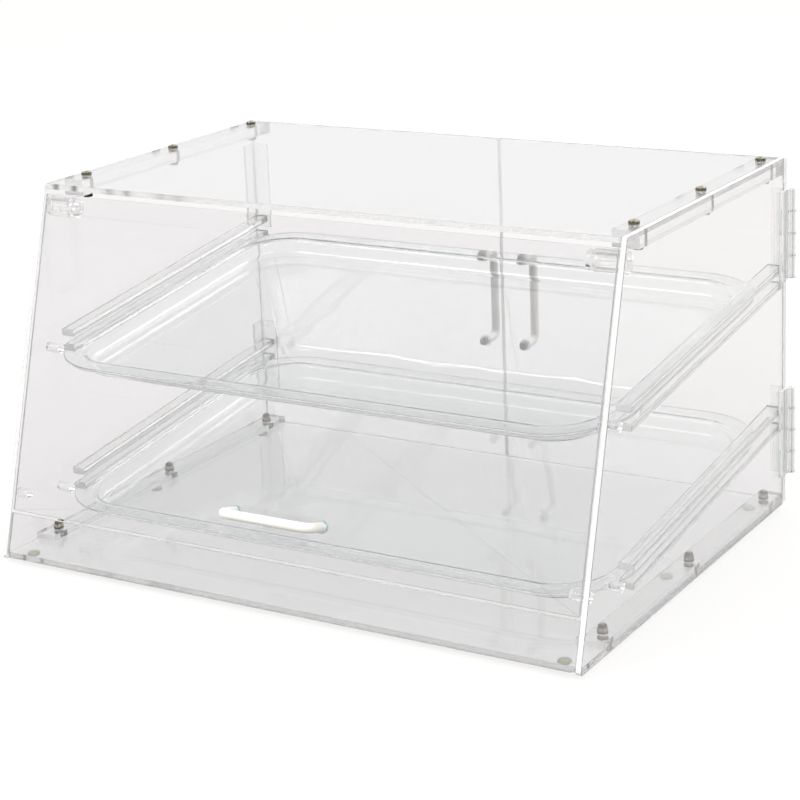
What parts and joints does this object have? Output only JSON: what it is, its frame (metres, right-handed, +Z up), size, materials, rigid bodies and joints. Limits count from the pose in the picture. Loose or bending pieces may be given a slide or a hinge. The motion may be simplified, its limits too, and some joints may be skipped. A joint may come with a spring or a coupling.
{
  "type": "countertop bread display bin",
  "caption": "Clear countertop display case with a sloping lift-up front door, paired rear doors and sloping slide-in trays for bread and pastry.",
  "frame": {"origin": "centre of the object's box at the surface that it stands on", "axes": "+X to the right seen from the front, +Y to the rear doors, +Z up"},
  "size_m": [0.5478, 0.4232, 0.3067],
  "materials": {
    "clear_sheet": "polished clear acrylic sheet",
    "clear_bar": "clear acrylic bar with sawn ends",
    "clear_tray": "thermoformed clear acrylic",
    "clear_rod": "clear acrylic rod",
    "clear_bushing": "clear nylon",
    "clear_washer": "clear nylon",
    "clear_hinge": "moulded clear plastic",
    "hinge_pin": "clear plastic rod",
    "ivory_plastic": "smooth moulded",
    "dark_screw": "dark bright plating",
    "dark_nut": "dark bright plating",
    "soft_foot": "soft translucent"
  },
  "bodies": {
    "case": {"base_bushings": "clear_bushing", "base_cap_nuts": "dark_nut", "base_panel": "clear_sheet", "base_screws": "dark_screw", "base_strip_left": "clear_bar", "base_strip_right": "clear_bar", "door_stop_left": "clear_rod", "door_stop_right": "clear_rod", "feet": "soft_foot", "front_lip": "clear_sheet", "lower_hinge_pin_left": "hinge_pin", "lower_hinge_pin_right": "hinge_pin", "lower_hinge_side_leaf_left": "clear_hinge", "lower_hinge_side_leaf_right": "clear_hinge", "lower_tray_lower_rail_left": "clear_bar", "lower_tray_lower_rail_right": "clear_bar", "lower_tray_stop_left": "clear_rod", "lower_tray_stop_right": "clear_rod", "lower_tray_upper_rail_left": "clear_bar", "lower_tray_upper_rail_right": "clear_bar", "pivot_cap_left": "clear_rod", "pivot_cap_right": "clear_rod", "pivot_pin_left": "clear_rod", "pivot_pin_right": "clear_rod", "side_panel_left": "clear_sheet", "side_panel_right": "clear_sheet", "top_bar_left": "clear_bar", "top_bar_right": "clear_bar", "top_bushings": "clear_bushing", "top_nuts": "dark_nut", "top_panel": "clear_sheet", "top_screws": "dark_screw", "upper_hinge_pin_left": "hinge_pin", "upper_hinge_pin_right": "hinge_pin", "upper_hinge_side_leaf_left": "clear_hinge", "upper_hinge_side_leaf_right": "clear_hinge", "upper_tray_lower_rail_left": "clear_bar", "upper_tray_lower_rail_right": "clear_bar", "upper_tray_stop_left": "clear_rod", "upper_tray_stop_right": "clear_rod", "upper_tray_upper_rail_left": "clear_bar", "upper_tray_upper_rail_right": "clear_bar"},
    "front_door": {"door_barrel_left": "clear_rod", "door_barrel_right": "clear_rod", "door_handle": "ivory_plastic", "front_door": "clear_sheet", "handle_screws": "dark_screw", "handle_washers": "clear_washer"},
    "rear_door_left": {"lower_hinge_door_leaf_left": "clear_hinge", "rear_door_left": "clear_sheet", "rear_handle_left": "ivory_plastic", "rear_handle_screws_left": "dark_screw", "upper_hinge_door_leaf_left": "clear_hinge"},
    "rear_door_right": {"lower_hinge_door_leaf_right": "clear_hinge", "rear_door_right": "clear_sheet", "rear_handle_right": "ivory_plastic", "rear_handle_screws_right": "dark_screw", "upper_hinge_door_leaf_right": "clear_hinge"},
    "upper_tray": {"upper_tray": "clear_tray"},
    "lower_tray": {"lower_tray": "clear_tray"}
  },
  "joints": [
    {"name": "front_door_lift", "type": "hinge", "parent": "case", "child": "front_door", "pos_m": [0, -0.11416, 0.2837], "axis": [-1, 0, 0], "range_deg": [0, 94]},
    {"name": "rear_door_left_swing", "type": "hinge", "parent": "case", "child": "rear_door_left", "pos_m": [-0.2699, 0.18984, 0.15345], "axis": [0, 0, 1], "range_deg": [0, 265]},
    {"name": "rear_door_right_swing", "type": "hinge", "parent": "case", "child": "rear_door_right", "pos_m": [0.2699, 0.18984, 0.15345], "axis": [0, 0, -1], "range_deg": [0, 265]},
    {"name": "upper_tray_slide", "type": "slide", "parent": "case", "child": "upper_tray", "axis": [0, 0.9925, 0.1219], "range_m": [0, 0.003]},
    {"name": "lower_tray_slide", "type": "slide", "parent": "case", "child": "lower_tray", "axis": [0, 0.9925, 0.1219], "range_m": [0, 0.003]}
  ]
}
